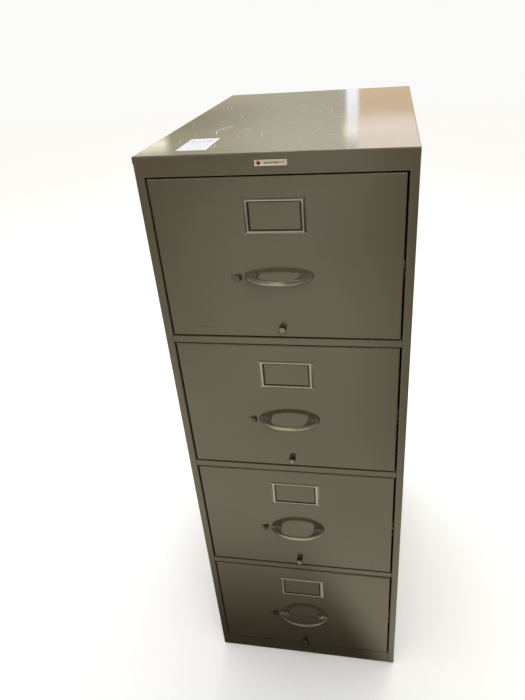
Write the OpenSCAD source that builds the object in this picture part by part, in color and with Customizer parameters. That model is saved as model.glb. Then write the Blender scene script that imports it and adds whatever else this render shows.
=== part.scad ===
// Four-drawer vertical filing cabinet in folded sheet steel.
// The origin is on the floor, below the middle of the cabinet with its handles.
// X runs to the right, Y from the front to the back, Z up. All sizes are millimetres.

/* [Case] */
// Width of the case
case_w = 457; // [450:1:480]
// Depth of the case from its front face to its back
case_d = 700; // [690:1:760]
// Height of the strip above the top drawer
header_h = 34; // [30:1:50]
// Height of the rail between two drawers
rail_h = 13; // [12:1:20]
// Height of the strip below the bottom drawer
base_h = 39; // [36:1:60]
// Width of the upright strips beside the drawers
stile_w = 15.5; // [15.5:0.5:18]
// Height of the glides that lift the case off the floor
glide_gap = 3; // [3:1:10]

/* [Drawers] */
// Number of drawers
drawer_count = 4; // [2:1:4]
// Height of a drawer opening
opening_h = 298; // [290:1:320]
// Gap between a drawer front and the case around it
front_gap = 3; // [2:0.5:3]
// Distance that a drawer opens
drawer_travel = 600; // [400:10:600]
// Distance that the bottom drawer stands out of the case when shut
bottom_proud = 2; // [0:0.5:3]

/* [Front hardware] */
// Width of a handle over its feet
handle_w = 122; // [110:1:130]
// Distance that a handle stands out from the drawer front
handle_out = 31; // [30:1:40]
// Width of a card holder
holder_w = 103.5; // [90:0.5:120]
// Height of a card holder
holder_h = 60; // [50:1:70]
// Diameter of a guide rod's knob
knob_d = 13.6; // [10:0.1:18]
// Distance that a guide rod's knob stands out
knob_out = 11; // [8:1:20]

/* [Sheet metal] */
// Thickness of the case and front sheets
sheet = 1.2; // [1:0.1:1.5]
// Thickness of the tray sheets
tray_sheet = 1; // [0.8:0.1:1.2]
// Outside radius of a fold
bend_r = 2.4; // [2:0.1:3]

/* [Hidden] */
$fn = 48;

paint = "#6b6353";
tray_paint = "#5f594b";
zinc = "#9b9c98";
nickel = "#8f9084";
nylon = "#ddd8c8";
cream = "#d9cfb4";
paper = "#f2f1ec";

// Overshoot of a cut beyond the faces that it opens, and the play between sliding pieces
cut = 1;
play = 0.3;

// Case heights above the floor
case_h = base_h + drawer_count*opening_h + (drawer_count - 1)*rail_h + header_h;
case_top = glide_gap + case_h;
skirt_h = 12;
shell_top = case_top - skirt_h;

// Front and back of the case along Y
front_y = (handle_out + bottom_proud - case_d)/2;
stile_depth = 25;
rear_flange = 18;
half_w = case_w/2;
opening_half = half_w - stile_w;
back_face = case_d - sheet;

// Drawer front and tray, in the drawer's own frame: the origin is on the case's front plane, in the
// middle of the bottom edge of the opening
front_half = opening_half - front_gap;
front_depth = 18;
liner_y = front_depth;
liner_inset = 0.5;
side_space = 16;
tray_half = opening_half - side_space;
tray_floor = 10;
tray_top = 240;
tray_rear = drawer_travel + 55;

// Suspension: arm is the cradle's channel, both sides alike
arm_z = 120;
arm_h = 26;
arm_sheet = 1.5;
arm_out = opening_half - 1;
arm_in = tray_half + 3;
arm_front = liner_y + 4;
arm_rear = tray_rear + 9;
arm_notch = 58;
roller_r = 11;
front_roller_r = 12;
roller_bore = 3.05;
roller_w = 8;
axle_r = 3;
axle_head_r = 4.5;
axle_head_t = 1;
axle_stub = 12;
front_axle_y = 40;
rear_axle_y = front_axle_y + drawer_travel;
tray_axle_z = arm_z + arm_sheet + play + roller_r;
arm_axle_z = arm_z + arm_h/2;
front_axle_z = arm_z + arm_h + 1 - front_roller_r;
case_axle_z = arm_z - play - roller_r;
runner_z = front_axle_z + front_roller_r + play;
runner_leg = 18;
runner_front = liner_y + 5;
runner_out = arm_out - 2.5;
channel_in = opening_half + 1;
channel_out = half_w - sheet;
channel_front = stile_depth + 3;
channel_rear = arm_rear + 10;
channel_low = arm_axle_z - roller_r - play;
channel_high = arm_axle_z + roller_r + play;
bracket_l = 30;

// Handle, heights above the bottom edge of the opening
handle_z = 123.5;
handle_inner = 37.5;
handle_bar = 3.5;
handle_bend = 47;
handle_half_h = 5.2;
handle_end_half_h = 3.4;
foot_half_h = 6.5;
foot_z = 125.5;
foot_out = 7;

// Card holder
holder_z = 231;
holder_border = 9.75;
holder_rim = 7;
holder_t = 2.2;
bead_w = 3;

// Guide rod and its knob
knob_z = 21.5;
knob_edge = 0.8;
knob_dish = 0.3;
knob_neck = 3;
rod_r = 3;
rod_hole_r = 3.3;
rod_tail = 5;

// Thumb latch: wedge, neck through the front, slide bar and nose
latch_z = 121.5;
latch_half_h = 4.6;
latch_left = -84;
latch_tip = [-71.5, -70];
latch_right = -66;
latch_out = 7;
latch_travel = 7;
latch_neck = [-77, -69];
latch_bar_y = [3, 5];
latch_bar_half_h = 4;
latch_nose_y = [8, 14];
nose_end = opening_half - play;
nose_step = [nose_end - 16, nose_end - 10];
neck_slot_half_h = 4.5;
nose_hole_half_h = 5;
strike_t = 2;
strike_y = [3, 22];
strike_half_h = 18;
slot_y = [6, 16];
slot_half_h = 6;

// Follower
follower_y = tray_rear - 55;
follower_half = 180;
follower_h = 205;
follower_t = 1.5;
follower_lip = 12;
follower_foot = [60, 140];
follower_foot_l = 50;
follower_rib_h = 60;
follower_notch = [15, 34];

// Nameplate and label
plate_size = [53.2, 0.8, 10.8];
plate_drop = 15.9;
label_size = [53, 94, 0.2];
label_corner = [-165, 32];

// Levelling glides and the bottom pan that they screw into
glide_x = half_w - 38;
glide_y = [60, case_d - 60];
pan_z = glide_gap + 12;
glide_pad = [15, 3];
glide_collar = [9, 6];
glide_stud_r = 4;
glide_stud_h = pan_z + 15;
glide_hole_r = 4.05;
glide_nut = [7.5, 6];

DRAWER_NODES = [
    "front", "tray", "cradle", "case_rollers", "cradle_front_rollers", "cradle_rear_rollers",
    "tray_rollers", "handle", "card_holder", "thumb_latch", "guide_rod", "follower"
];

// Height of the bottom edge of opening n above the floor, counted from the top drawer
function opening_z(n) = glide_gap + base_h + (drawer_count - n)*(opening_h + rail_h);

// Solid box between two opposite corners
module block(from, to) {
    translate(from) cube(to - from);
}

// The children and their mirror image on the other side of the cabinet
module both_sides() {
    children();
    mirror([1, 0, 0]) children();
}

// The children in the frame of the case's front plane
module in_case() {
    translate([0, front_y, 0]) children();
}

// The children in the frame of opening n
module in_opening(n) {
    translate([0, front_y, opening_z(n)]) children();
}

// The children in the frame of drawer n, which stands a little out of its opening at the bottom
module in_drawer(n) {
    proud = n == drawer_count ? bottom_proud : 0;
    in_opening(n) translate([0, -proud, 0]) children();
}

// Cylinder along X between two places
module rod_x(x_from, x_to, y, z, r) {
    translate([x_from, y, z]) rotate([0, 90, 0]) cylinder(h = x_to - x_from, r = r);
}

// Cylinder along Y between two places
module rod_y(y_from, y_to, x, z, r) {
    translate([x, y_from, z]) rotate([-90, 0, 0]) cylinder(h = y_to - y_from, r = r);
}

// Rectangle with rounded corners and its lower left corner at the origin
module round_rect(size, r) {
    translate([r, 0]) square([size.x - 2*r, size.y]);
    translate([0, r]) square([size.x, size.y - 2*r]);
    for (x = [r, size.x - r], y = [r, size.y - r]) translate([x, y]) circle(r);
}

// Rectangle centred on X with only its two upper corners rounded
module crowned_rect(w, h, r) {
    translate([-w/2, -h]) square([w, h - r]);
    translate([-w/2 + r, -r]) square([w - 2*r, r]);
    for (x = [-w/2 + r, w/2 - r]) translate([x, -r]) circle(r);
}

// Block below z = 0 with a w by l top whose upper edges are rounded
module crowned_block(w, l, h, r) {
    intersection() {
        translate([0, l/2, 0]) rotate([90, 0, 0]) linear_extrude(l) crowned_rect(w, h, r);
        translate([-w/2, 0, 0]) rotate([90, 0, 90]) linear_extrude(w) crowned_rect(l, h, r);
    }
}

// Folded pan of sheet t, open below, with its top face at z = 0
module pan(w, l, h, r, t) {
    difference() {
        crowned_block(w, l, h, r);
        translate([0, 0, -t]) crowned_block(w - 2*t, l - 2*t, h, r - t);
    }
}

// Channel of sheet t along X between two places, open to the back, front face at y = 0
module rail_channel(x_from, x_to, z_from, z_to, depth, t) {
    difference() {
        block([x_from, 0, z_from], [x_to, depth, z_to]);
        block([x_from - cut, t, z_from + t], [x_to + cut, depth + cut, z_to - t]);
    }
}

// ---- Case ----

// Plan of the right side sheet: hollow stile, side wall and rear flange
module side_profile() {
    translate([opening_half, 0]) difference() {
        round_rect([stile_w, stile_depth], bend_r);
        translate([sheet, sheet])
            round_rect([stile_w - 2*sheet, stile_depth - 2*sheet], bend_r - sheet);
    }
    translate([half_w - sheet, stile_depth - bend_r])
        square([sheet, case_d - stile_depth + bend_r]);
    translate([half_w - rear_flange, back_face]) square([rear_flange, sheet]);
}

// Beside the header the fold of the stile is filled with weld and ground flush
module right_side_shell() {
    header_z = case_top - header_h;
    translate([0, 0, glide_gap]) linear_extrude(shell_top - glide_gap) side_profile();
    block([opening_half, 0, header_z], [opening_half + bend_r, sheet, shell_top]);
}

module left_side_panel() {
    color(paint) in_case() mirror([1, 0, 0]) right_side_shell();
}

// The right stile has a slot for the nose of each latch
module right_side_panel() {
    color(paint) in_case() difference() {
        right_side_shell();
        for (n = [1:drawer_count])
            translate([0, 0, opening_z(n) + latch_z])
                block([opening_half - cut, slot_y[0], -slot_half_h],
                      [opening_half + sheet + cut, slot_y[1], slot_half_h]);
    }
}

module top_panel() {
    color(paint) in_case() translate([0, case_d/2, case_top])
        pan(case_w, case_d, skirt_h, bend_r, sheet);
}

module back_panel() {
    color(paint) in_case()
        block([-half_w + sheet, back_face - sheet, glide_gap], [half_w - sheet, back_face, shell_top]);
}

// Strip below the bottom drawer with the bottom pan that the glides screw into
module base_frame() {
    top = glide_gap + base_h;
    color(paint) in_case() difference() {
        union() {
            rail_channel(-opening_half, opening_half, glide_gap, top, stile_depth, sheet);
            block([-half_w + sheet, stile_depth, pan_z],
                  [half_w - sheet, back_face - sheet, pan_z + sheet]);
            block([-opening_half, stile_depth, glide_gap], [opening_half, stile_depth + sheet, pan_z]);
        }
        for (x = [-glide_x, glide_x], y = glide_y)
            translate([x, y, pan_z - cut]) cylinder(h = sheet + 2*cut, r = glide_hole_r);
    }
}

module front_header() {
    color(paint) in_case()
        rail_channel(-opening_half, opening_half, case_top - header_h, shell_top, stile_depth, sheet);
}

module crossrails() {
    color(paint) in_case() for (n = [1:drawer_count - 1])
        rail_channel(-opening_half, opening_half, opening_z(n) - rail_h, opening_z(n),
                     stile_depth, sheet);
}

// Channel on the case side that the cradle's rear roller runs in, with the bracket and axle of the
// roller that carries the cradle at the mouth of the case
module case_channel() {
    bracket_out = channel_in + arm_sheet;
    difference() {
        block([channel_in, channel_front, channel_low - arm_sheet],
              [channel_out, channel_rear, channel_high + arm_sheet]);
        block([channel_in - cut, channel_front - cut, channel_low],
              [channel_out - arm_sheet, channel_rear + cut, channel_high]);
    }
    block([channel_in, channel_front, case_axle_z - roller_r],
          [bracket_out, channel_front + bracket_l, channel_low]);
    rod_x(arm_in, bracket_out, front_axle_y, case_axle_z, axle_r);
    rod_x(arm_in - axle_head_t, arm_in, front_axle_y, case_axle_z, axle_head_r);
}

module case_channels() {
    color(zinc) for (n = [1:drawer_count]) in_opening(n) both_sides() case_channel();
}

// Slotted plates inside the right stile that the latches catch behind
module latch_strikes() {
    color(zinc) for (n = [1:drawer_count]) in_opening(n) translate([opening_half + sheet, 0, latch_z])
        difference() {
            block([0, strike_y[0], -strike_half_h], [strike_t, strike_y[1], strike_half_h]);
            block([-cut, slot_y[0], -slot_half_h], [strike_t + cut, slot_y[1], slot_half_h]);
        }
}

module nameplate() {
    color(cream) in_case() translate([-plate_size.x/2, -plate_size.y, case_top - plate_drop])
        translate([0, 0, -plate_size.z/2]) cube(plate_size);
}

module top_label() {
    color(paper) in_case() translate([label_corner.x, label_corner.y, case_top]) cube(label_size);
}

// Pad, collar, stud and nut of one glide; the pads and nuts are [radius, height]
module glide() {
    cylinder(h = glide_pad[1], r = glide_pad[0]);
    cylinder(h = glide_collar[1], r = glide_collar[0]);
    cylinder(h = glide_stud_h, r = glide_stud_r);
    translate([0, 0, pan_z + sheet]) cylinder(h = glide_nut[1], r = glide_nut[0], $fn = 6);
}

module levelling_glides() {
    color(zinc) in_case() for (x = [-glide_x, glide_x], y = glide_y) translate([x, y, 0]) glide();
}

// ---- Suspension ----

// Nylon roller on the X axis, its inner face at the given place
module roller(x, y, z, r) {
    translate([x, y, z]) rotate([0, 90, 0]) difference() {
        cylinder(h = roller_w, r = r);
        translate([0, 0, -cut]) cylinder(h = roller_w + 2*cut, r = roller_bore);
    }
}

// One arm of the cradle, notched over its front roller, with the axles of its two rollers
module cradle_arm() {
    stub_end = arm_out + axle_stub;
    difference() {
        block([arm_in, arm_front, arm_z], [arm_out, arm_rear, arm_z + arm_h]);
        block([arm_in - cut, arm_front - cut, arm_z + arm_sheet],
              [arm_out - arm_sheet, arm_rear + cut, arm_z + arm_h - arm_sheet]);
        block([arm_in - cut, arm_front - cut, arm_z + arm_h - arm_sheet - cut],
              [arm_out + cut, arm_notch, arm_z + arm_h + cut]);
    }
    rod_x(arm_in + play, arm_out, front_axle_y, front_axle_z, axle_r);
    rod_x(arm_out - arm_sheet, stub_end, rear_axle_y, arm_axle_z, axle_r);
    rod_x(stub_end, stub_end + axle_head_t, rear_axle_y, arm_axle_z, axle_head_r);
}

// Pair of arms joined by a tie behind the tray
module cradle(n) {
    color(zinc) in_drawer(n) {
        both_sides() cradle_arm();
        block([-arm_out, arm_rear - arm_sheet, arm_z], [arm_out, arm_rear, arm_z + arm_h]);
    }
}

module case_rollers(n) {
    color(nylon) in_opening(n) both_sides()
        roller(arm_in + play, front_axle_y, case_axle_z, roller_r);
}

module cradle_front_rollers(n) {
    color(nylon) in_drawer(n) both_sides()
        roller(arm_in + 1, front_axle_y, front_axle_z, front_roller_r);
}

module cradle_rear_rollers(n) {
    color(nylon) in_drawer(n) both_sides()
        roller(arm_out + 3, rear_axle_y, arm_axle_z, roller_r);
}

module tray_rollers(n) {
    color(nylon) in_drawer(n) both_sides()
        roller(arm_in + 0.5, rear_axle_y, tray_axle_z, roller_r);
}

// ---- Drawer ----

// Folded front pan with the holes for the latch, its nose and the guide rod
module drawer_front(n) {
    color(paint) in_drawer(n) difference() {
        translate([0, 0, opening_h/2]) rotate([90, 0, 0])
            pan(2*front_half, opening_h - 2*front_gap, front_depth, bend_r, sheet);
        block([latch_neck[0] - latch_travel - 0.5, -cut, latch_z - neck_slot_half_h],
              [latch_neck[1] + 0.5, sheet + cut, latch_z + neck_slot_half_h]);
        block([front_half - sheet - cut, latch_nose_y[0] - 1, latch_z - nose_hole_half_h],
              [front_half + cut, latch_nose_y[1] + 1, latch_z + nose_hole_half_h]);
        rod_y(-cut, sheet + cut, 0, knob_z, rod_hole_r);
    }
}

// Folded runner on the tray side that rests on the cradle's front roller, and the rear roller's axle
module tray_runner() {
    block([tray_half, runner_front, runner_z], [runner_out, tray_rear, runner_z + arm_sheet]);
    block([tray_half, runner_front, runner_z], [tray_half + arm_sheet, tray_rear, runner_z + runner_leg]);
    rod_x(tray_half - tray_sheet, arm_in + roller_w + 1, rear_axle_y, tray_axle_z, axle_r);
}

// Bottom, sides, back and inner front wall, with the runners
module tray(n) {
    half = tray_half;
    t = tray_sheet;
    liner_half = front_half - liner_inset;
    liner_low = front_gap + liner_inset;
    color(tray_paint) in_drawer(n) difference() {
        union() {
            block([-liner_half, liner_y, liner_low], [liner_half, liner_y + t, opening_h - liner_low]);
            block([-half, liner_y, tray_floor], [half, tray_rear, tray_floor + t]);
            both_sides() block([half - t, liner_y, tray_floor], [half, tray_rear, tray_top]);
            block([-half, tray_rear - t, tray_floor], [half, tray_rear, tray_top]);
            both_sides() tray_runner();
        }
        rod_y(liner_y - cut, tray_rear + cut, 0, knob_z, rod_hole_r);
    }
}

// Half of an ellipse with half axes a and b, as points from the right to the left
function half_ellipse(a, b, steps) = [for (i = [0:steps]) [a*cos(180*i/steps), -b*sin(180*i/steps)]];

// Plan of the bow: a half ellipse with the hand space cut out of it
module bow_plan() {
    steps = 32;
    inside = half_ellipse(handle_bend, handle_out - handle_bar, steps);
    difference() {
        polygon(half_ellipse(handle_w/2, handle_out, steps));
        intersection() {
            polygon(concat(inside, [[-handle_bend, cut], [handle_bend, cut]]));
            translate([-handle_inner, -handle_out]) square([2*handle_inner, handle_out + 2*cut]);
        }
    }
}

// Height of the bow seen from the front: it tapers from the middle to the feet
module bow_elevation() {
    steps = 16;
    taper = handle_half_h - handle_end_half_h;
    upper = [for (i = [-steps:steps])
        [handle_w/2*i/steps, handle_end_half_h + taper*cos(90*i/steps)]];
    lower = [for (p = upper) [-p.x, -p.y]];
    polygon(concat(upper, lower));
}

// Bow with a broad foot at each end
module handle(n) {
    color(nickel) in_drawer(n) {
        intersection() {
            translate([0, 0, handle_z - handle_half_h]) linear_extrude(2*handle_half_h) bow_plan();
            translate([0, 0, handle_z]) rotate([90, 0, 0]) linear_extrude(handle_out) bow_elevation();
        }
        intersection() {
            translate([0, 0, foot_z - foot_half_h]) linear_extrude(2*foot_half_h) bow_plan();
            union() both_sides()
                block([handle_inner, -foot_out, foot_z - foot_half_h],
                      [handle_w/2, 0, foot_z + foot_half_h]);
        }
    }
}

// Stamped frame with a raised bead around its window
module card_holder(n) {
    bead = [holder_w - bead_w, holder_h - bead_w];
    window = [holder_w - 2*holder_border, holder_h - 2*holder_rim];
    color(nickel) in_drawer(n) translate([0, 0, holder_z]) rotate([90, 0, 0]) difference() {
        union() {
            linear_extrude(sheet) square([holder_w, holder_h], center = true);
            linear_extrude(holder_t) difference() {
                square(bead, center = true);
                square(bead - [2*bead_w, 2*bead_w], center = true);
            }
        }
        translate([0, 0, -cut]) linear_extrude(holder_t + 2*cut) square(window, center = true);
    }
}

// Wedge for the thumb, its neck through the front, the slide bar and the nose at its right end
module thumb_latch(n) {
    wedge = [[latch_left, 0], [latch_tip[0], -latch_out], [latch_tip[1], -latch_out], [latch_right, 0]];
    bar = latch_bar_half_h;
    color(zinc) in_drawer(n) translate([0, 0, latch_z]) {
        translate([0, -play, -latch_half_h]) linear_extrude(2*latch_half_h) polygon(wedge);
        block([latch_neck[0], -play, -bar], [latch_neck[1], latch_bar_y[1], bar]);
        block([latch_left, latch_bar_y[0], -bar], [nose_step[1], latch_bar_y[1], bar]);
        block([nose_step[0], latch_bar_y[0], -bar], [nose_step[1], latch_nose_y[1], bar]);
        block([nose_step[0], latch_nose_y[0], -bar], [nose_end, latch_nose_y[1], bar]);
    }
}

// Rod through the file guides with a turned knob on its front end
module guide_rod(n) {
    knob_r = knob_d/2;
    neck_r = knob_r - 1;
    face = knob_out - knob_dish;
    tail = -tray_rear - rod_tail;
    color(zinc) in_drawer(n) translate([0, 0, knob_z]) rotate([90, 0, 0]) rotate_extrude() polygon([
        [0, face], [knob_r - 2, face], [knob_r - knob_edge, knob_out],
        [knob_r, knob_out - knob_edge], [knob_r, knob_neck], [neck_r, knob_neck - 1], [neck_r, play],
        [rod_r, play], [rod_r, tail + 2], [rod_r - 1, tail], [0, tail]
    ]);
}

// Upright plate that holds the files together, on a foot that slides along the tray's floor
module follower(n) {
    floor_z = tray_floor + tray_sheet + play;
    t = follower_t;
    foot_rear = follower_y + follower_foot_l;
    color(zinc) in_drawer(n) difference() {
        union() {
            block([-follower_half, follower_y, floor_z], [follower_half, follower_y + t, follower_h]);
            block([-follower_half, follower_y, follower_h - t],
                  [follower_half, follower_y + follower_lip, follower_h]);
            both_sides() {
                block([follower_foot[0], follower_y, floor_z], [follower_foot[1], foot_rear, floor_z + t]);
                block([follower_foot[0], follower_y, floor_z],
                      [follower_foot[0] + t, foot_rear, floor_z + follower_rib_h]);
            }
        }
        block([-follower_notch[0], follower_y - cut, floor_z - cut],
              [follower_notch[0], follower_y + t + cut, follower_notch[1]]);
    }
}

left_side_panel();
right_side_panel();
top_panel();
back_panel();
base_frame();
front_header();
crossrails();
case_channels();
latch_strikes();
nameplate();
top_label();
levelling_glides();

for (n = [1:drawer_count]) {
    drawer_front(n);
    tray(n);
    cradle(n);
    case_rollers(n);
    cradle_front_rollers(n);
    cradle_rear_rollers(n);
    tray_rollers(n);
    handle(n);
    card_holder(n);
    thumb_latch(n);
    guide_rod(n);
    follower(n);
}
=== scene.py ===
"""Looks of a four-drawer filing cabinet: enamelled steel, dulled nickel hardware, paper label.

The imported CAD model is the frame. Handles, card holders, thumb latches, nameplate and label are
remade here with finer shapes; every other node keeps its CAD mesh and gets a procedural material.
Coordinates are metres in the cabinet's own frame: X right, Y to the back, Z up.
"""

import math

import bmesh
import bpy
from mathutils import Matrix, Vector


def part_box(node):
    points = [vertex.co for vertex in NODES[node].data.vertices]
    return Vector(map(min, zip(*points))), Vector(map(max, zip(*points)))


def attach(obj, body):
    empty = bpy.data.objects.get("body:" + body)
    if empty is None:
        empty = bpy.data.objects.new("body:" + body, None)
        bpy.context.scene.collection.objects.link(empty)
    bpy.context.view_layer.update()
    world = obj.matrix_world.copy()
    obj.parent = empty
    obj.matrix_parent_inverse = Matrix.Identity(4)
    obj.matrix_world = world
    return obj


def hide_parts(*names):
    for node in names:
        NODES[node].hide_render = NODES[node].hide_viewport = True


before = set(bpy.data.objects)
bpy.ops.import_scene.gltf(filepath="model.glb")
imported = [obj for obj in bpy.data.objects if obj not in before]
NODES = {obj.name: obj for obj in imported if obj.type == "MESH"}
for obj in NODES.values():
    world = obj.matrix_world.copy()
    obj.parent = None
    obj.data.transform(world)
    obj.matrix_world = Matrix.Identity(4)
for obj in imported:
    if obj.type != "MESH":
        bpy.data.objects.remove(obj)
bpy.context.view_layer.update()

MM = 0.001
DEGREE = math.pi/180
DRAWERS = [n for n in range(1, 5) if f"drawer_{n}_front" in NODES]
FRONT_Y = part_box("front_header")[0].y
CASE_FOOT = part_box("left_side_panel")[0].z
FRONT_GAP = 3*MM
HANDLE_HEIGHT = 125.5*MM
CORNERS = ((1, 1), (-1, 1), (-1, -1), (1, -1))

# Base colours
BLACK = (0.0, 0.0, 0.0)
ENAMEL = (0.076, 0.0625, 0.036)
TRAY_ENAMEL = (0.075, 0.062, 0.036)
WEAR_AND_HIGHLIGHT_ENAMEL = (0.30, 0.28, 0.21)
# Light scratch colour: bared paint together with painted sheen
SCRATCH_AND_SHEEN_ENAMEL = (0.6, 0.6, 0.56)
SCUFF = (0.012, 0.011, 0.009)
NICKEL = (0.285, 0.268, 0.222)
HOLDER_NICKEL = (0.34, 0.31, 0.295)
TURNED_STEEL = (0.2, 0.185, 0.165)
# Dark grimy steel, also used as painted shade in the gaps beside the drawers and in the card holders'
# grooves
GRIME_AND_SHADE_STEEL = (0.07, 0.062, 0.045)

# Scuffs on the fronts: ((x, height above the opening's bottom), (half width, half height), strength)
MARKS = {
    1: (((-0.146, 0.022), (0.022, 0.0022), 0.8), ((0.143, 0.026), (0.018, 0.0016), 0.9)),
    4: (((-0.06, 0.17), (0.007, 0.003), 0.8),),
}


def drawer_z(n):
    """Height of the bottom edge of the drawer's opening, a gap below the front."""
    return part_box(f"drawer_{n}_front")[0].z - FRONT_GAP


# ---- Node trees ----

class Graph:
    """Builds a node tree with short calls. Sockets and numbers can both be inputs."""

    def __init__(self, tree):
        self.tree = tree

    def add(self, kind, inputs=None, **settings):
        node = self.tree.nodes.new(kind)
        for key, value in settings.items():
            setattr(node, key, value)
        for key, value in (inputs or {}).items():
            self.put(node.inputs[key], value)
        return node

    def put(self, socket, value):
        if isinstance(value, bpy.types.NodeSocket):
            self.tree.links.new(value, socket)
        else:
            socket.default_value = value

    def math(self, operation, a, b=0.0):
        return self.add("ShaderNodeMath", {0: a, 1: b}, operation=operation).outputs[0]

    def degrees(self, angle):
        return self.math("DIVIDE", angle, DEGREE)

    def times(self, *factors):
        total = factors[0]
        for factor in factors[1:]:
            total = self.math("MULTIPLY", total, factor)
        return total

    def mix(self, factor, a, b):
        """Colour a, turning into b as factor goes from 0 to 1."""
        node = self.add("ShaderNodeMix", data_type="RGBA")
        for index, value in ((0, factor), (6, a), (7, b)):
            self.put(node.inputs[index], rgba(value) if isinstance(value, tuple) else value)
        return node.outputs[2]

    def span(self, value, low, high, to_low=0.0, to_high=1.0):
        """Smooth step from to_low to to_high as value goes from low to high."""
        inputs = {0: value, 1: low, 2: high, 3: to_low, 4: to_high}
        return self.add("ShaderNodeMapRange", inputs, interpolation_type="SMOOTHSTEP").outputs[0]

    def window(self, value, centre, half, soft):
        """1 within half of centre, falling to 0 over soft."""
        distance = self.math("ABSOLUTE", self.math("SUBTRACT", value, centre))
        return self.span(distance, half, half + soft, 1.0, 0.0)

    def split(self, vector):
        return self.add("ShaderNodeSeparateXYZ", {0: vector}).outputs

    def coords(self, output="Object"):
        return self.add("ShaderNodeTexCoord").outputs[output]

    def place(self, scale=(1, 1, 1), turn=(0, 0, 0)):
        """Object coordinates, scaled and turned."""
        inputs = {"Vector": self.coords(), "Rotation": turn, "Scale": scale}
        return self.add("ShaderNodeMapping", inputs).outputs[0]

    def noise(self, coords, scale, detail=2.0, roughness=0.5):
        inputs = {"Vector": coords, "Scale": scale, "Detail": detail, "Roughness": roughness}
        return self.add("ShaderNodeTexNoise", inputs).outputs[0]

    def bump(self, height, strength, distance, normal=None):
        node = self.add("ShaderNodeBump", {"Height": height, "Strength": strength, "Distance": distance})
        if normal is not None:
            self.put(node.inputs["Normal"], normal)
        return node.outputs[0]


def rgba(colour):
    """Colour with full opacity."""
    return (*colour, 1.0)


def scaled(colour, factor):
    return tuple(c*factor for c in colour)


def new_material(name):
    """Empty material with a Principled shader: (material, graph, shader)."""
    material = bpy.data.materials.new(name)
    material.use_nodes = True
    return material, Graph(material.node_tree), material.node_tree.nodes["Principled BSDF"]


def mesh_object(name, verts, faces, smooth=True):
    """New mesh object in the scene."""
    mesh = bpy.data.meshes.new(name)
    mesh.from_pydata(verts, [], faces)
    mesh.update()
    if smooth:
        mesh.shade_smooth()
    obj = bpy.data.objects.new(name, mesh)
    bpy.context.collection.objects.link(obj)
    return obj


def plane(name, x_range, y_range, z):
    """Flat rectangle at height z."""
    corners = [(x_range[0], y_range[0], z), (x_range[1], y_range[0], z),
               (x_range[1], y_range[1], z), (x_range[0], y_range[1], z)]
    return mesh_object(name, corners, [(0, 1, 2, 3)], smooth=False)


# ---- Camera, floor and light ----

def add_camera():
    """Stands 0.9 m in front of the cabinet and 1.5 m above its foot, right of its middle, looking down."""
    data = bpy.data.cameras.new("camera")
    data.lens = 29.68
    data.sensor_width = 36
    data.shift_x = -0.0221
    data.shift_y = -0.004
    camera = bpy.data.objects.new("camera", data)
    camera.location = (179.1*MM, FRONT_Y - 903.6*MM, CASE_FOOT + 1495.4*MM)
    camera.rotation_euler = [angle*DEGREE for angle in (59.49, 3.97, 9.60)]
    bpy.context.collection.objects.link(camera)
    bpy.context.scene.camera = camera
    bpy.context.scene.view_settings.view_transform = "Standard"


def add_floor():
    """Pale floor. It is seen, but what the cabinet reflects is the world and the card below it, as it
    would be with studio flags around."""
    floor = plane("floor", (-9, 9), (-9, 9), 0.0)
    material, graph, shader = new_material("floor_paper")
    tone = graph.noise(graph.place(), 0.6)
    graph.put(shader.inputs["Base Color"], graph.mix(tone, (0.93, 0.93, 0.92), (0.96, 0.96, 0.95)))
    shader.inputs["Roughness"].default_value = 0.9
    floor.data.materials.append(material)
    floor.visible_diffuse = False
    floor.visible_glossy = False


def add_floor_shadow_card():
    """Dark card just below the floor in front of the cabinet, met only by reflections and soft light: a
    painted shadow of the floor near the cabinet. It fades out to the front and to the right, and darkens
    the foot of the bottom drawer with painted shade."""
    card = plane("floor_card", (-1.6, 0.6), (FRONT_Y - 0.6, FRONT_Y + 0.02), -0.5*MM)
    material, graph, shader = new_material("painted_shadow_card")
    x, y, _ = graph.split(graph.coords())
    # The alpha draws the painted shadow's shape: strong close to the cabinet's front, fading forwards and
    # to the right
    near = graph.span(y, FRONT_Y - 0.5, FRONT_Y, 0.0, 0.95)
    slant = graph.math("SUBTRACT", x, graph.times(graph.math("SUBTRACT", y, FRONT_Y), 0.7))
    left = graph.span(slant, 0.14, 0.29, 1.0, 0.0)
    shader.inputs["Base Color"].default_value = (0.02, 0.018, 0.014, 1)
    shader.inputs["Roughness"].default_value = 1.0
    shader.inputs["Specular IOR Level"].default_value = 0.0
    graph.put(shader.inputs["Alpha"], graph.times(near, left))
    card.data.materials.append(material)
    card.visible_camera = False
    card.visible_shadow = False


def add_area(name, place, target, size, power, colour=(1, 1, 1), spread=180):
    """Area light at place, turned to target, not seen by the camera."""
    data = bpy.data.lights.new(name, "AREA")
    data.shape = "RECTANGLE"
    data.size, data.size_y = size
    data.spread = spread*DEGREE
    data.energy = power
    data.color = colour
    light = bpy.data.objects.new(name, data)
    light.location = place
    light.rotation_euler = (Vector(target) - Vector(place)).to_track_quat("-Z", "Y").to_euler()
    light.visible_camera = False
    bpy.context.collection.objects.link(light)
    return light


def add_sun(name, power, angle):
    """Soft light from straight above that leaves no reflection."""
    data = bpy.data.lights.new(name, "SUN")
    data.energy = power
    data.angle = angle*DEGREE
    light = bpy.data.objects.new(name, data)
    light.location = (0.0, 0.0, 3.0)
    light.visible_glossy = False
    bpy.context.collection.objects.link(light)


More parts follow.
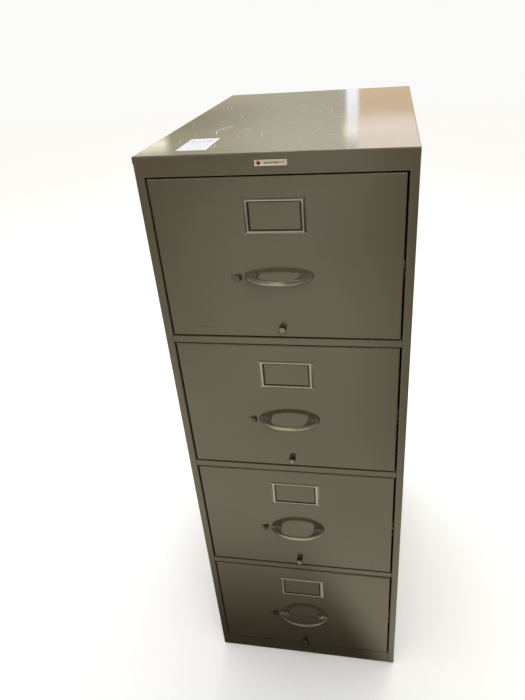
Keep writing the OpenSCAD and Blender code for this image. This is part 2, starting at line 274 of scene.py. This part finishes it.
def front_wall(graph, height, ahead):
    """What lies in front of the cabinet and is mirrored by the drawers: bright low down, dim at eye
    level, dark at both ends, with two soft glows. Angles are in degrees, ahead from straight in front."""
    bright, dim = (1.42, 1.32, 0.99), (0.42, 0.40, 0.34)
    wall = graph.mix(graph.span(height, -31.0, -16.0), bright, dim)
    right_end = graph.times(graph.span(ahead, -6.0, 7.0), graph.span(height, -46.0, -36.0))
    left_end = graph.times(graph.span(ahead, -14.0, -25.0), graph.span(height, -34.0, -28.0))
    for end, strength in ((right_end, 0.67), (left_end, 0.3)):
        wall = graph.mix(graph.times(end, strength), wall, BLACK)
    # Across and up, each as (centre, half width, fade); colour; strength
    glows = (((-6.0, 2.0, 8.0), (-13.0, 3.0, 6.0), (1.3, 1.25, 1.1), 0.4),
             ((-12.0, 3.0, 10.0), (-20.5, 3.0, 6.0), (1.45, 1.42, 1.2), 0.5))
    for across, up, colour, strength in glows:
        glow = graph.times(graph.window(ahead, *across), graph.window(height, *up))
        wall = graph.mix(graph.times(glow, strength), wall, colour)
    upper, highest = (0.72, 0.67, 0.56), (0.36, 0.33, 0.28)
    wall = graph.mix(graph.span(height, 0.0, 8.0), wall, upper)
    wall = graph.mix(graph.span(height, 18.0, 48.0), wall, highest)
    sideways = graph.span(graph.math("ABSOLUTE", ahead), 32.0, 55.0)
    return graph.mix(graph.times(sideways, 0.35), wall, BLACK)


def rear_wall(graph, height, behind):
    """What lies behind the cabinet and is mirrored by the top: grey with a pink foot and a lamp at the
    left, pale in the middle, then a bright strip with a bulb, and beige below white at the right. Angles
    are in degrees, behind from straight behind."""
    grey, pink, pale = (0.68, 0.65, 0.48), (0.8, 0.57, 0.39), (1.0, 0.95, 0.8)
    beige, white = (1.05, 0.78, 0.52), (1.76, 1.54, 1.36)
    lamp_light, strip_light, bulb_light = (2.5, 2.4, 2.0), (1.62, 1.65, 1.77), (3.2, 2.9, 2.2)
    foot, upper = (0.8, 0.73, 0.56), (0.6, 0.59, 0.55)

    left = graph.mix(graph.times(graph.window(height, 8.2, 0.3, 1.8), 0.44), grey, BLACK)
    left = graph.mix(graph.span(height, 7.8, 6.9), left, pink)
    lamp = graph.times(graph.window(behind, -23.5, 2.2, 1.0), graph.window(height, 10.0, 0.3, 0.6))
    left = graph.mix(lamp, left, lamp_light)
    middle = graph.mix(graph.times(graph.span(height, 11.8, 6.9), 0.36), pale, BLACK)
    right = graph.mix(graph.span(height, 9.0, 9.5), beige, white)
    wall = graph.mix(graph.span(behind, -20.0, -8.0), left, middle)
    wall = graph.mix(graph.span(behind, -3.0, -2.6), wall, right)
    strip = graph.times(graph.window(behind, -3.3, 0.35, 0.4), graph.span(height, 12.0, 10.4))
    wall = graph.mix(strip, wall, strip_light)
    bulb = graph.times(graph.window(behind, -3.5, 0.5, 0.4), graph.window(height, 10.35, 0.1, 0.2))
    wall = graph.mix(bulb, wall, bulb_light)
    wall = graph.mix(graph.span(height, 5.5, 3.0), wall, foot)
    return graph.mix(graph.span(height, 16.0, 35.0), wall, upper)


def add_world():
    """Painted studio. Reflections see its walls under a dark ceiling, soft light gets a little less than
    they do, and the camera sees a plain pale wall."""
    world = bpy.data.worlds.new("studio")
    bpy.context.scene.world = world
    world.use_nodes = True
    graph = Graph(world.node_tree)
    background = world.node_tree.nodes["Background"]
    x, y, z = graph.split(graph.coords("Generated"))
    height = graph.degrees(graph.math("ARCSINE", z))
    behind = graph.degrees(graph.math("ARCTAN2", x, y))
    ahead = graph.degrees(graph.math("ARCTAN2", x, graph.math("MULTIPLY", y, -1.0)))
    ceiling, camera_wall = (0.1, 0.09, 0.075), (0.96, 0.96, 0.95)

    front, rear = front_wall(graph, height, ahead), rear_wall(graph, height, behind)
    walls = graph.mix(graph.span(y, -0.25, 0.25), front, rear)
    rays = graph.add("ShaderNodeLightPath").outputs
    overhead = graph.times(graph.span(height, 48.0, 66.0), rays["Is Glossy Ray"])
    walls = graph.mix(overhead, walls, ceiling)
    walls = graph.mix(graph.times(rays["Is Diffuse Ray"], 0.56), walls, BLACK)
    walls = graph.mix(rays["Is Camera Ray"], walls, camera_wall)
    graph.put(background.inputs[0], walls)
    background.inputs[1].default_value = 1.0


def add_lights():
    """A soft key high in front, an even light from above, and a rim light for the top's edges."""
    source = (0.5, FRONT_Y - 1.3, 2.5)
    add_area("glint", source, (0.0, 0.0, 1.1), (0.5, 0.4), 1.2, (1.0, 0.97, 0.9))
    key = add_area("key", source, (0.0, FRONT_Y, 1.6), (1.9, 1.3), 8.6, (0.97, 0.98, 1.0), spread=60)
    key.visible_glossy = False
    add_sun("ceiling", 2.5, 60)
    add_area("rim", (0.3, 2.2, 3.4), (0.0, 0.0, 1.3), (2.4, 0.5), 30, (1.0, 0.99, 0.95))


# ---- Materials ----

def edge_mask(graph):
    """1 on folded edges, where the object-space normal lies between the axes, 0 on flat faces."""
    absolute = graph.add("ShaderNodeVectorMath", {0: graph.coords("Normal")}, operation="ABSOLUTE")
    axes = graph.split(absolute.outputs[0])
    largest = graph.math("MAXIMUM", graph.math("MAXIMUM", axes[0], axes[1]), axes[2])
    return graph.span(graph.math("SUBTRACT", 1.0, largest), 0.06, 0.3)


def smudge(graph, centre, radii):
    """Scuff around a place on the front, broken up by noise. Centre and radii are (x, z)."""
    x, _, z = graph.split(graph.coords())
    across = graph.math("DIVIDE", graph.math("SUBTRACT", x, centre[0]), radii[0])
    up = graph.math("DIVIDE", graph.math("SUBTRACT", z, centre[1]), radii[1])
    squares = graph.math("ADD", graph.math("POWER", across, 2.0), graph.math("POWER", up, 2.0))
    body = graph.span(graph.math("SQRT", squares), 0.5, 1.0, 1.0, 0.0)
    grain = graph.noise(graph.place(scale=(0.35, 1, 2.2)), 400.0, 3.0)
    return graph.times(body, graph.span(grain, 0.42, 0.62))


def scratch_layer(graph, turn, length, spacing, width, share):
    """Straight fine scratches on a horizontal face, at most one in each length by spacing cell."""
    u, v, _ = graph.split(graph.place(turn=(0, 0, turn)))
    wobble = graph.times(graph.math("SUBTRACT", graph.noise(graph.place(), 14.0), 0.5), 0.012)
    u = graph.math("DIVIDE", u, length)
    v = graph.math("DIVIDE", graph.math("ADD", v, wobble), spacing)
    cell = graph.add("ShaderNodeCombineXYZ", {0: graph.math("FLOOR", u), 1: graph.math("FLOOR", v)})
    chance = graph.add("ShaderNodeTexWhiteNoise", {"Vector": cell.outputs[0]}, noise_dimensions="3D")
    offset, present, reach = graph.add("ShaderNodeSeparateColor", {0: chance.outputs["Color"]}).outputs
    middle = graph.math("ADD", graph.times(offset, 0.6), 0.2)
    distance = graph.math("ABSOLUTE", graph.math("SUBTRACT", graph.math("FRACT", v), middle))
    line = graph.span(distance, 0.2*width/spacing, width/spacing, 1.0, 0.0)
    along = graph.math("ABSOLUTE", graph.math("SUBTRACT", graph.math("FRACT", u), 0.5))
    ends = graph.span(graph.math("SUBTRACT", along, graph.times(reach, 0.4)), -0.12, 0.0, 1.0, 0.0)
    return graph.times(line, ends, graph.math("LESS_THAN", present, share))


def curved_scratch(graph, centre, radius, y_range, width):
    """Left part of a circle on the top face, between two places along Y."""
    x, y, _ = graph.split(graph.coords())
    across = graph.math("SUBTRACT", x, centre[0])
    along = graph.math("SUBTRACT", y, centre[1])
    squares = graph.math("ADD", graph.math("POWER", across, 2.0), graph.math("POWER", along, 2.0))
    offset = graph.math("ABSOLUTE", graph.math("SUBTRACT", graph.math("SQRT", squares), radius))
    ring = graph.span(offset, 0.3*width, width, 1.0, 0.0)
    middle, half = (y_range[0] + y_range[1])/2, (y_range[1] - y_range[0])/2
    return graph.times(ring, graph.window(y, middle, half, 0.004), graph.span(across, 0.0, -0.01))


def top_scratches(graph):
    """Scratches all over the top, in patches, and two curved ones near the label."""
    # Centre (x, y) and the two ends along Y, both with Y from the front; width
    curves = (((-0.055, 0.194), (0.165, 0.24), 1.3*MM), ((-0.047, 0.192), (0.2, 0.236), 0.9*MM))
    # Turn, length, spacing, width, share of the cells that hold a scratch
    layers = ((1.35, 0.07, 0.011, 0.5*MM, 0.2), (1.9, 0.05, 0.014, 0.45*MM, 0.2),
              (0.7, 0.06, 0.016, 0.5*MM, 0.18), (2.6, 0.09, 0.025, 0.6*MM, 0.16))
    radius = 79.5*MM
    total = 0.0
    for (x, y), (near, far), width in curves:
        curve = curved_scratch(graph, (x, FRONT_Y + y), radius, (FRONT_Y + near, FRONT_Y + far), width)
        total = graph.math("MAXIMUM", total, curve)
    patches = graph.span(graph.noise(graph.place(), 7.0, 2.0), 0.36, 0.6)
    for layer in layers:
        total = graph.math("MAXIMUM", total, graph.times(scratch_layer(graph, *layer), patches))
    facing = graph.span(graph.split(graph.coords("Normal"))[2], 0.9, 0.99)
    return graph.times(total, facing)


def paint_material(name, colour, gloss=0.13, dents=0.06, marks=(), scratched=False):
    """Old enamel over steel: orange peel, faint mottling, folds lightened as wear and as a painted edge
    highlight, and the marks given.
    """
    material, graph, shader = new_material(name)
    mottle = graph.noise(graph.place(), 3.2, 5.0, 0.62)
    speck = graph.noise(graph.place(), 300.0, 2.0)
    tone = graph.mix(graph.span(mottle, 0.3, 0.7), scaled(colour, 0.94), scaled(colour, 1.06))
    tone = graph.mix(graph.span(speck, 0.68, 0.8, 0.0, 0.25), tone, scaled(colour, 0.5))
    # Folded edges are lightened in patches: part wear, part painted highlight where the folds catch light
    rub_patches = graph.span(graph.noise(graph.place(), 60.0, 4.0), 0.35, 0.7, 0.15, 1.0)
    rubbed_and_highlight = graph.times(edge_mask(graph), rub_patches)
    tone = graph.mix(graph.times(rubbed_and_highlight, 0.25), tone, WEAR_AND_HIGHLIGHT_ENAMEL)
    for centre, radii, strength in marks:
        tone = graph.mix(graph.times(smudge(graph, centre, radii), strength), tone, SCUFF)
    haze = graph.noise(graph.place(), 16.0, 4.0, 0.6)
    roughness = graph.span(haze, 0.3, 0.7, gloss*0.85, gloss*1.3)
    if scratched:
        # Scratches are lightened both as bared paint and as painted sheen where they scatter light
        lines = top_scratches(graph)
        tone = graph.mix(graph.times(lines, 0.7), tone, SCRATCH_AND_SHEEN_ENAMEL)
        roughness = graph.math("ADD", roughness, graph.times(lines, 0.3))
    graph.put(shader.inputs["Base Color"], tone)
    graph.put(shader.inputs["Roughness"], roughness)
    shader.inputs["IOR"].default_value = 1.5
    shader.inputs["Specular IOR Level"].default_value = 0.72
    peel = graph.noise(graph.place(), 380.0, 2.0, 0.45)
    normal = graph.bump(graph.noise(graph.place(), 9.0, 1.0), dents, 0.004)
    graph.put(shader.inputs["Normal"], graph.bump(peel, 0.03, 0.0006, normal))
    return material


def metal_material(name, colour, roughness, grain=(1, 1, 1), dirt=0.35, metallic=1.0, relief=0.03):
    """Dulled plated metal with brushed grain, stains and darker tarnish."""
    material, graph, shader = new_material(name)
    tarnish = graph.span(graph.noise(graph.place(), 70.0, 5.0, 0.6), 0.4, 0.72, 0.0, dirt)
    pits = graph.span(graph.noise(graph.place(), 900.0, 2.0), 0.62, 0.75, 0.0, dirt)
    tone = graph.mix(graph.math("MAXIMUM", tarnish, pits), colour, scaled(colour, 0.45))
    graph.put(shader.inputs["Base Color"], tone)
    brushed = graph.noise(graph.place(scale=grain), 700.0, 3.0)
    graph.put(shader.inputs["Roughness"], graph.span(brushed, 0.2, 0.8, roughness*0.8, roughness*1.3))
    shader.inputs["Metallic"].default_value = metallic
    graph.put(shader.inputs["Normal"], graph.bump(brushed, relief, 0.0001))
    return material


def zinc_material():
    """Zinc plate with a faint crystal pattern."""
    dark_crystal, light_crystal, stained = (0.34, 0.34, 0.32), (0.52, 0.52, 0.5), (0.3, 0.27, 0.2)
    material, graph, shader = new_material("zinc_plate")
    cells = graph.add("ShaderNodeTexVoronoi", {"Vector": graph.place(), "Scale": 130.0}).outputs["Color"]
    shade = graph.add("ShaderNodeRGBToBW", {0: cells}).outputs[0]
    tone = graph.mix(shade, dark_crystal, light_crystal)
    stain = graph.span(graph.noise(graph.place(), 22.0, 4.0), 0.5, 0.75, 0.0, 0.4)
    graph.put(shader.inputs["Base Color"], graph.mix(stain, tone, stained))
    graph.put(shader.inputs["Roughness"], graph.span(shade, 0.0, 1.0, 0.3, 0.5))
    shader.inputs["Metallic"].default_value = 0.9
    graph.put(shader.inputs["Normal"], graph.bump(graph.noise(graph.place(), 500.0), 0.05, 0.0003))
    return material


def nylon_material():
    """Natural nylon, a little yellowed and greasy."""
    clean, greasy = (0.74, 0.7, 0.58), (0.42, 0.38, 0.28)
    material, graph, shader = new_material("nylon")
    tone = graph.noise(graph.place(), 90.0, 4.0)
    colour = graph.mix(graph.span(tone, 0.35, 0.75), clean, greasy)
    graph.put(shader.inputs["Base Color"], colour)
    graph.put(shader.inputs["Roughness"], graph.span(tone, 0.3, 0.7, 0.35, 0.55))
    shader.inputs["Subsurface Weight"].default_value = 0.15
    shader.inputs["Subsurface Radius"].default_value = (0.002, 0.0015, 0.001)
    graph.put(shader.inputs["Normal"], graph.bump(graph.noise(graph.place(), 350.0), 0.08, 0.0004))
    return material


def nameplate_material(centre, half):
    """Cream enamel plate with a dark rim, a plain red lozenge at the left and a blurred grey line."""
    enamel, yellowed, rim_brown = (0.52, 0.455, 0.335), (0.4, 0.345, 0.255), (0.05, 0.045, 0.035)
    red, ink = (0.16, 0.012, 0.014), (0.07, 0.055, 0.045)
    soft, rim, line_half = 0.2*MM, 0.7*MM, 0.9*MM
    material, graph, shader = new_material("nameplate_enamel")
    x, _, z = graph.split(graph.coords())

    def box(middle, size, fuzz):
        across = graph.window(x, middle[0], size[0], fuzz)
        return graph.times(across, graph.window(z, middle[1], size[1], fuzz))

    field = box(centre, (half[0] - rim, half[1] - rim), soft)
    wear = graph.noise(graph.place(), 500.0, 4.0)
    cream = graph.mix(graph.span(wear, 0.35, 0.8), enamel, yellowed)
    tone = graph.mix(field, rim_brown, cream)
    mark_x = centre[0] - half[0] + 7.0*MM
    spread = graph.math("ADD", graph.math("ABSOLUTE", graph.math("SUBTRACT", x, mark_x)),
                        graph.math("ABSOLUTE", graph.math("SUBTRACT", z, centre[1])))
    lozenge = graph.span(spread, 4.2*MM, 4.6*MM, 1.0, 0.0)
    tone = graph.mix(lozenge, tone, red)
    line = box((centre[0] + 5.0*MM, centre[1]), (half[0] - 10.5*MM, line_half), line_half)
    streaks = graph.noise(graph.place(scale=(1, 1, 0.2)), 420.0, 2.0)
    tone = graph.mix(graph.times(line, graph.span(streaks, 0.3, 0.6, 0.35, 0.95)), tone, ink)
    graph.put(shader.inputs["Base Color"], tone)
    graph.put(shader.inputs["Roughness"], graph.span(wear, 0.3, 0.7, 0.25, 0.4))
    height = graph.math("ADD", field, graph.times(wear, 0.2))
    graph.put(shader.inputs["Normal"], graph.bump(height, 0.5, 0.0002))
    return material


def paper_material(centre, half):
    """White paper with faint blurred rows that stand for print."""
    dark_fibre, light_fibre, grey_ink = (0.53, 0.53, 0.56), (0.59, 0.59, 0.62), (0.14, 0.1, 0.13)
    row_pitch = 15.5*MM
    material, graph, shader = new_material("label_paper")
    x, y, _ = graph.split(graph.coords())
    fibre = graph.noise(graph.place(), 900.0, 4.0)
    tone = graph.mix(fibre, dark_fibre, light_fibre)
    rows = graph.math("SINE", graph.times(y, 2*math.pi/row_pitch))
    blots = graph.noise(graph.place(scale=(1, 0.3, 1)), 260.0, 2.0)
    inside = graph.times(graph.window(x, centre[0], half[0] - 6*MM, 1*MM),
                         graph.window(y, centre[1], half[1] - 9*MM, 1*MM))
    heading = graph.span(y, centre[1], centre[1] + half[1]*0.5, 0.45, 0.95)
    ink = graph.times(graph.span(rows, 0.2, 0.7), graph.span(blots, 0.38, 0.5), inside, heading)
    graph.put(shader.inputs["Base Color"], graph.mix(ink, tone, grey_ink))
    graph.put(shader.inputs["Roughness"], graph.span(fibre, 0.2, 0.8, 0.6, 0.8))
    graph.put(shader.inputs["Normal"], graph.bump(fibre, 0.1, 0.0001))
    return material


# ---- Pieces remade with finer shapes ----

def loft(name, sections, closed=False):
    """Skin over rings of points, each ring the same length. If closed, the last ring joins the first,
    otherwise both ends are capped."""
    count, rings = len(sections[0]), len(sections)
    verts = [point for ring in sections for point in ring]
    faces = []
    for i in range(rings if closed else rings - 1):
        a, b = i*count, (i + 1) % rings*count
        for k in range(count):
            faces.append((a + k, a + (k + 1) % count, b + (k + 1) % count, b + k))
    if not closed:
        faces.append(tuple(reversed(range(count))))
        faces.append(tuple((rings - 1)*count + k for k in range(count)))
    return mesh_object(name, verts, faces)


def finish_piece(piece, materials, node, body):
    """Turns the faces outwards, dresses the piece and puts it in the place of its CAD node."""
    work = bmesh.new()
    work.from_mesh(piece.data)
    bmesh.ops.recalc_face_normals(work, faces=work.faces)
    work.to_mesh(piece.data)
    work.free()
    for material in materials:
        piece.data.materials.append(material)
    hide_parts(node)
    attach(piece, body)


def add_bevel(obj, width, segments=2):
    """Rounds the sharp edges, those that turn by more than the modifier's own 30 degrees."""
    bevel = obj.modifiers.new("bevel", "BEVEL")
    bevel.width = width
    bevel.segments = segments
    bevel.limit_method = "ANGLE"


def smooth_step(value, low, high):
    """0 up to low, 1 from high, and smooth between."""
    t = min(max((value - low)/(high - low), 0.0), 1.0)
    return t*t*(3 - 2*t)


def signed_power(value, power):
    """Power of the value's size, with the value's sign."""
    return math.copysign(abs(value)**power, value)


def handle_section(angle, size):
    """Ring of the bow at an angle from its right foot (0) to its left foot (pi), in metres from the
    middle of its feet on the face. In plan it lies between an elliptic outer and a squarer inner
    contour. The top slopes down from the foot and runs level along the bar; the underside is highest at
    the waist between foot and bar. The bar's front is convex and the feet end in round tips."""
    half_w, depth, inner_half, inner_depth = size
    cos, sin = math.cos(angle), math.sin(angle)
    outer = Vector((half_w*cos, -depth*sin))
    inner = Vector((inner_half*signed_power(cos, 0.72), -inner_depth*signed_power(sin, 0.72)))
    reach = abs(sin)
    foot_top, bar_top = 6.6*MM, 2.6*MM
    foot_low, waist, bar_low = -6.5*MM, -3.4*MM, -6.9*MM
    top = foot_top + (bar_top - foot_top)*smooth_step(reach, 0.02, 0.32)
    low = foot_low + (waist - foot_low)*smooth_step(reach, 0.04, 0.35)
    low += (bar_low - waist)*smooth_step(reach, 0.4, 0.95)
    squareness = 0.2 + 0.34*smooth_step(reach, 0.3, 0.8)
    round_from, corners = half_w - 12*MM, 28
    middle, half_span = (outer + inner)/2, (outer - inner)/2
    ring = []
    for k in range(corners):
        turn = 2*math.pi*k/corners
        at = middle + half_span*signed_power(math.cos(turn), squareness)
        rise = signed_power(math.sin(turn), squareness)
        past = max(abs(at.x) - round_from, 0.0)/(half_w - round_from)
        half_height = (top - low)/2*math.sqrt(max(1 - past**2.4, 0.06))
        ring.append((at.x, at.y, (top + low)/2 + half_height*rise))
    return ring


def make_handle(n, material):
    """Bow handle, lofted from foot to foot."""
    low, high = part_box(f"drawer_{n}_handle")
    foot_z = drawer_z(n) + HANDLE_HEIGHT
    depth, inner_half, bar_thickness = high.y - low.y - 0.1*MM, 37.5*MM, 3.7*MM
    size = ((high.x - low.x)/2, depth, inner_half, depth - bar_thickness)
    steps = 88
    sections = []
    for i in range(steps + 1):
        ring = handle_section(math.pi*i/steps, size)
        sections.append([(x, y + high.y, z + foot_z) for x, y, z in ring])
    piece = loft(f"drawer_{n}_bow_handle", sections)
    finish_piece(piece, [material], f"drawer_{n}_handle", f"drawer_{n}")


def make_card_holder(n, material, grime_and_shade):
    """Stamped frame: a thin outer flange, a broad raised band and a step down to the window. Its mitred
    corners stand out as small ears. Both sides of the band are dark: grime together with painted shade in
    the grooves."""
    low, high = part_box(f"drawer_{n}_card_holder")
    centre, half = (low + high)/2, (high - low)/2
    border_x, border_z = 9.75*MM, 7*MM
    profile = ((0.0, 0.0), (0.0, 0.7), (0.10, 0.75), (0.16, 1.0), (0.24, 1.75), (0.34, 2.1), (0.48, 2.2),
               (0.62, 2.1), (0.72, 1.75), (0.80, 1.0), (0.86, 0.75), (1.0, 0.7), (1.0, 0.0))
    ear, ear_run, ear_lift = 1.6*MM, 5*MM, 0.6*MM
    rings = []
    for depth, rise in profile:
        x, z = half.x - border_x*depth, half.z - border_z*depth
        y = high.y - rise*MM
        flare = ear*(1 - min(depth*2.4, 1.0))
        lift = ear_lift*(1 - depth) if rise > 0 else 0.0
        ring = []
        for sx, sz in CORNERS:
            corner = (sx*(x + flare), y - lift, sz*(z + flare))
            on_side = (sx*x, y, sz*(z - ear_run))
            on_edge = (sx*(x - ear_run), y, sz*z)
            ring += [on_side, corner, on_edge] if sx*sz > 0 else [on_edge, corner, on_side]
        rings.append([(px + centre.x, py, pz + centre.z) for px, py, pz in ring])
    piece = loft(f"drawer_{n}_card_frame", rings, closed=True)
    # Faces on both sides of the band get the dark steel: grime, and painted shade where the grooves would
    # be shaded
    grooves = (2, 8, 9, 10, 11)
    for face in piece.data.polygons:
        face.material_index = 1 if face.index//len(rings[0]) in grooves else 0
    add_bevel(piece, 0.25*MM)
    finish_piece(piece, [material, grime_and_shade], f"drawer_{n}_card_holder", f"drawer_{n}")


def prism(work, outline, z_low, z_high, material_index):
    """Adds an upright prism over an outline of (x, y) points to a bmesh."""
    floor = [work.verts.new((x, y, z_low)) for x, y in outline]
    roof = [work.verts.new((x, y, z_high)) for x, y in outline]
    count = len(outline)
    faces = [work.faces.new(list(reversed(floor))), work.faces.new(roof)]
    for k in range(count):
        faces.append(work.faces.new((floor[k], floor[(k + 1) % count], roof[(k + 1) % count], roof[k])))
    for face in faces:
        face.material_index = material_index


def make_latch(n, material, grime_and_shade):
    """Thumb wedge with a hollowed thumb face, its neck, the slide bar and the nose."""
    low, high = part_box(f"drawer_{n}_thumb_latch")
    face_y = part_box(f"drawer_{n}_front")[0].y
    foot_y = face_y - 0.3*MM
    left, tip, right, tip_out = low.x, low.x + 14*MM, low.x + 18*MM, low.y
    hollow = [(left + (tip - left)*t, face_y + (tip_out - face_y)*t**1.2) for t in (0.3, 0.55, 0.8)]
    wedge = [(left, foot_y), *hollow, (tip - 0.5*MM, tip_out), (tip + 0.3*MM, tip_out), (right, foot_y)]
    middle, bar_half = (low.z + high.z)/2, 4*MM
    neck_in, neck_out = left + 7*MM, left + 15*MM
    bar_front, bar_back = face_y + 3*MM, face_y + 5*MM
    nose_front, nose_back = face_y + 8*MM, high.y
    step_in, step_out = high.x - 16*MM, high.x - 10*MM
    work = bmesh.new()
    prism(work, wedge, low.z, high.z, 0)
    # The bar and the nose take the dark steel, which is painted shade where the nose shows in the gap
    # beside the drawer
    arm = [(neck_in, foot_y), (neck_out, foot_y), (neck_out, bar_front), (step_out, bar_front),
           (step_out, nose_front), (high.x, nose_front), (high.x, nose_back), (step_in, nose_back),
           (step_in, bar_back), (left, bar_back), (left, bar_front), (neck_in, bar_front)]
    prism(work, arm, middle - bar_half, middle + bar_half, 1)
    mesh = bpy.data.meshes.new(f"drawer_{n}_latch")
    work.to_mesh(mesh)
    work.free()
    piece = bpy.data.objects.new(f"drawer_{n}_latch", mesh)
    bpy.context.collection.objects.link(piece)
    add_bevel(piece, 0.35*MM, 3)
    finish_piece(piece, [material, grime_and_shade], f"drawer_{n}_thumb_latch", f"drawer_{n}_thumb_latch")


def make_nameplate():
    """Plate with a raised rim: the profile holds (inset, share of the thickness)."""
    low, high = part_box("nameplate")
    centre, half = (low + high)/2, (high - low)/2
    field = 0.75
    profile = ((0.0, 0.0), (0.0, 0.55), (0.25*MM, 1.0), (1.2*MM, 1.0), (1.5*MM, field), (4.0*MM, field))
    rings = []
    for inset, rise in profile:
        x, z = half.x - inset, half.z - inset
        y = high.y - (high.y - low.y)*rise
        rings.append([(centre.x + sx*x, y, centre.z + sz*z) for sx, sz in CORNERS])
    piece = loft("name_plate", rings)
    material = nameplate_material((centre.x, centre.z), (half.x, half.z))
    finish_piece(piece, [material], "nameplate", "case")


def make_label():
    """Thin paper sheet whose corners lift a little."""
    low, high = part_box("top_label")
    centre, half = (low + high)/2, (high - low)/2
    steps_x, steps_y = 10, 16
    thickness, curl = 0.12*MM, 0.05*MM
    verts = []
    for layer in (0, 1):
        for j in range(steps_y + 1):
            for i in range(steps_x + 1):
                u, v = 2*i/steps_x - 1, 2*j/steps_y - 1
                z = low.z + layer*(thickness + curl*(u*v)**4)
                verts.append((centre.x + half.x*u, centre.y + half.y*v, z))
    row, top = steps_x + 1, (steps_x + 1)*(steps_y + 1)
    faces = []
    for j in range(steps_y):
        for i in range(steps_x):
            a = j*row + i
            faces.append((a, a + row, a + row + 1, a + 1))
            faces.append((top + a, top + a + 1, top + a + row + 1, top + a + row))
    left = [j*row for j in range(steps_y)]
    back = [steps_y*row + i for i in range(steps_x)]
    right = [j*row + steps_x for j in range(steps_y, 0, -1)]
    front = list(range(steps_x, 0, -1))
    edge = left + back + right + front
    for a, b in zip(edge, edge[1:] + edge[:1]):
        faces.append((a, b, top + b, top + a))
    piece = mesh_object("paper_label", verts, faces)
    material = paper_material((centre.x, centre.y), (half.x, half.y))
    finish_piece(piece, [material], "top_label", "case")


def dress_nodes(names, material):
    """Gives CAD nodes a single material."""
    for name in names:
        mesh = NODES[name].data
        mesh.materials.clear()
        mesh.materials.append(material)


# ---- Build ----

add_camera()
add_world()
add_lights()
add_floor()
add_floor_shadow_card()

case_paint = paint_material("case_enamel", ENAMEL)
top_paint = paint_material("top_enamel", ENAMEL, gloss=0.066, dents=0.012, scratched=True)
tray_paint = paint_material("tray_enamel", TRAY_ENAMEL, gloss=0.35)
zinc = zinc_material()
nylon = nylon_material()
handle_metal = metal_material("handle_nickel", NICKEL, roughness=0.18, grain=(0.15, 1, 1), dirt=0.08,
                              metallic=0.85, relief=0.012)
holder_metal = metal_material("holder_nickel", HOLDER_NICKEL, roughness=0.22, grain=(0.3, 1, 1),
                              dirt=0.12)
latch_metal = metal_material("latch_nickel", scaled(NICKEL, 0.75), roughness=0.25, dirt=0.25,
                             metallic=0.9)
rod_metal = metal_material("rod_steel", TURNED_STEEL, roughness=0.3, grain=(1, 0.1, 1))
# Dark steel for parts in gaps and grooves: grime, and painted shade where these parts sit in shadow
grime_and_shade_metal = metal_material("grime_and_shade_steel", GRIME_AND_SHADE_STEEL, roughness=0.5, dirt=0.6)

dress_nodes(["left_side_panel", "right_side_panel", "back_panel", "base_frame", "front_header",
             "crossrails"], case_paint)
dress_nodes(["top_panel"], top_paint)
dress_nodes(["case_channels", "levelling_glides"], zinc)
# The strikes show in the gaps beside the drawers; their dark steel is painted shade there, with some grime
dress_nodes(["latch_strikes"], grime_and_shade_metal)

for n in DRAWERS:
    marks = [((x, z + drawer_z(n)), radii, strength) for (x, z), radii, strength in MARKS.get(n, ())]
    dress_nodes([f"drawer_{n}_front"], paint_material(f"drawer_{n}_enamel", ENAMEL, marks=marks))
    dress_nodes([f"drawer_{n}_tray"], tray_paint)
    dress_nodes([f"drawer_{n}_cradle", f"drawer_{n}_follower"], zinc)
    rollers = [f"drawer_{n}_{kind}_rollers" for kind in ("case", "cradle_front", "cradle_rear", "tray")]
    dress_nodes(rollers, nylon)
    dress_nodes([f"drawer_{n}_guide_rod"], rod_metal)
    make_latch(n, latch_metal, grime_and_shade_metal)
    make_handle(n, handle_metal)
    make_card_holder(n, holder_metal, grime_and_shade_metal)
make_nameplate()
make_label()
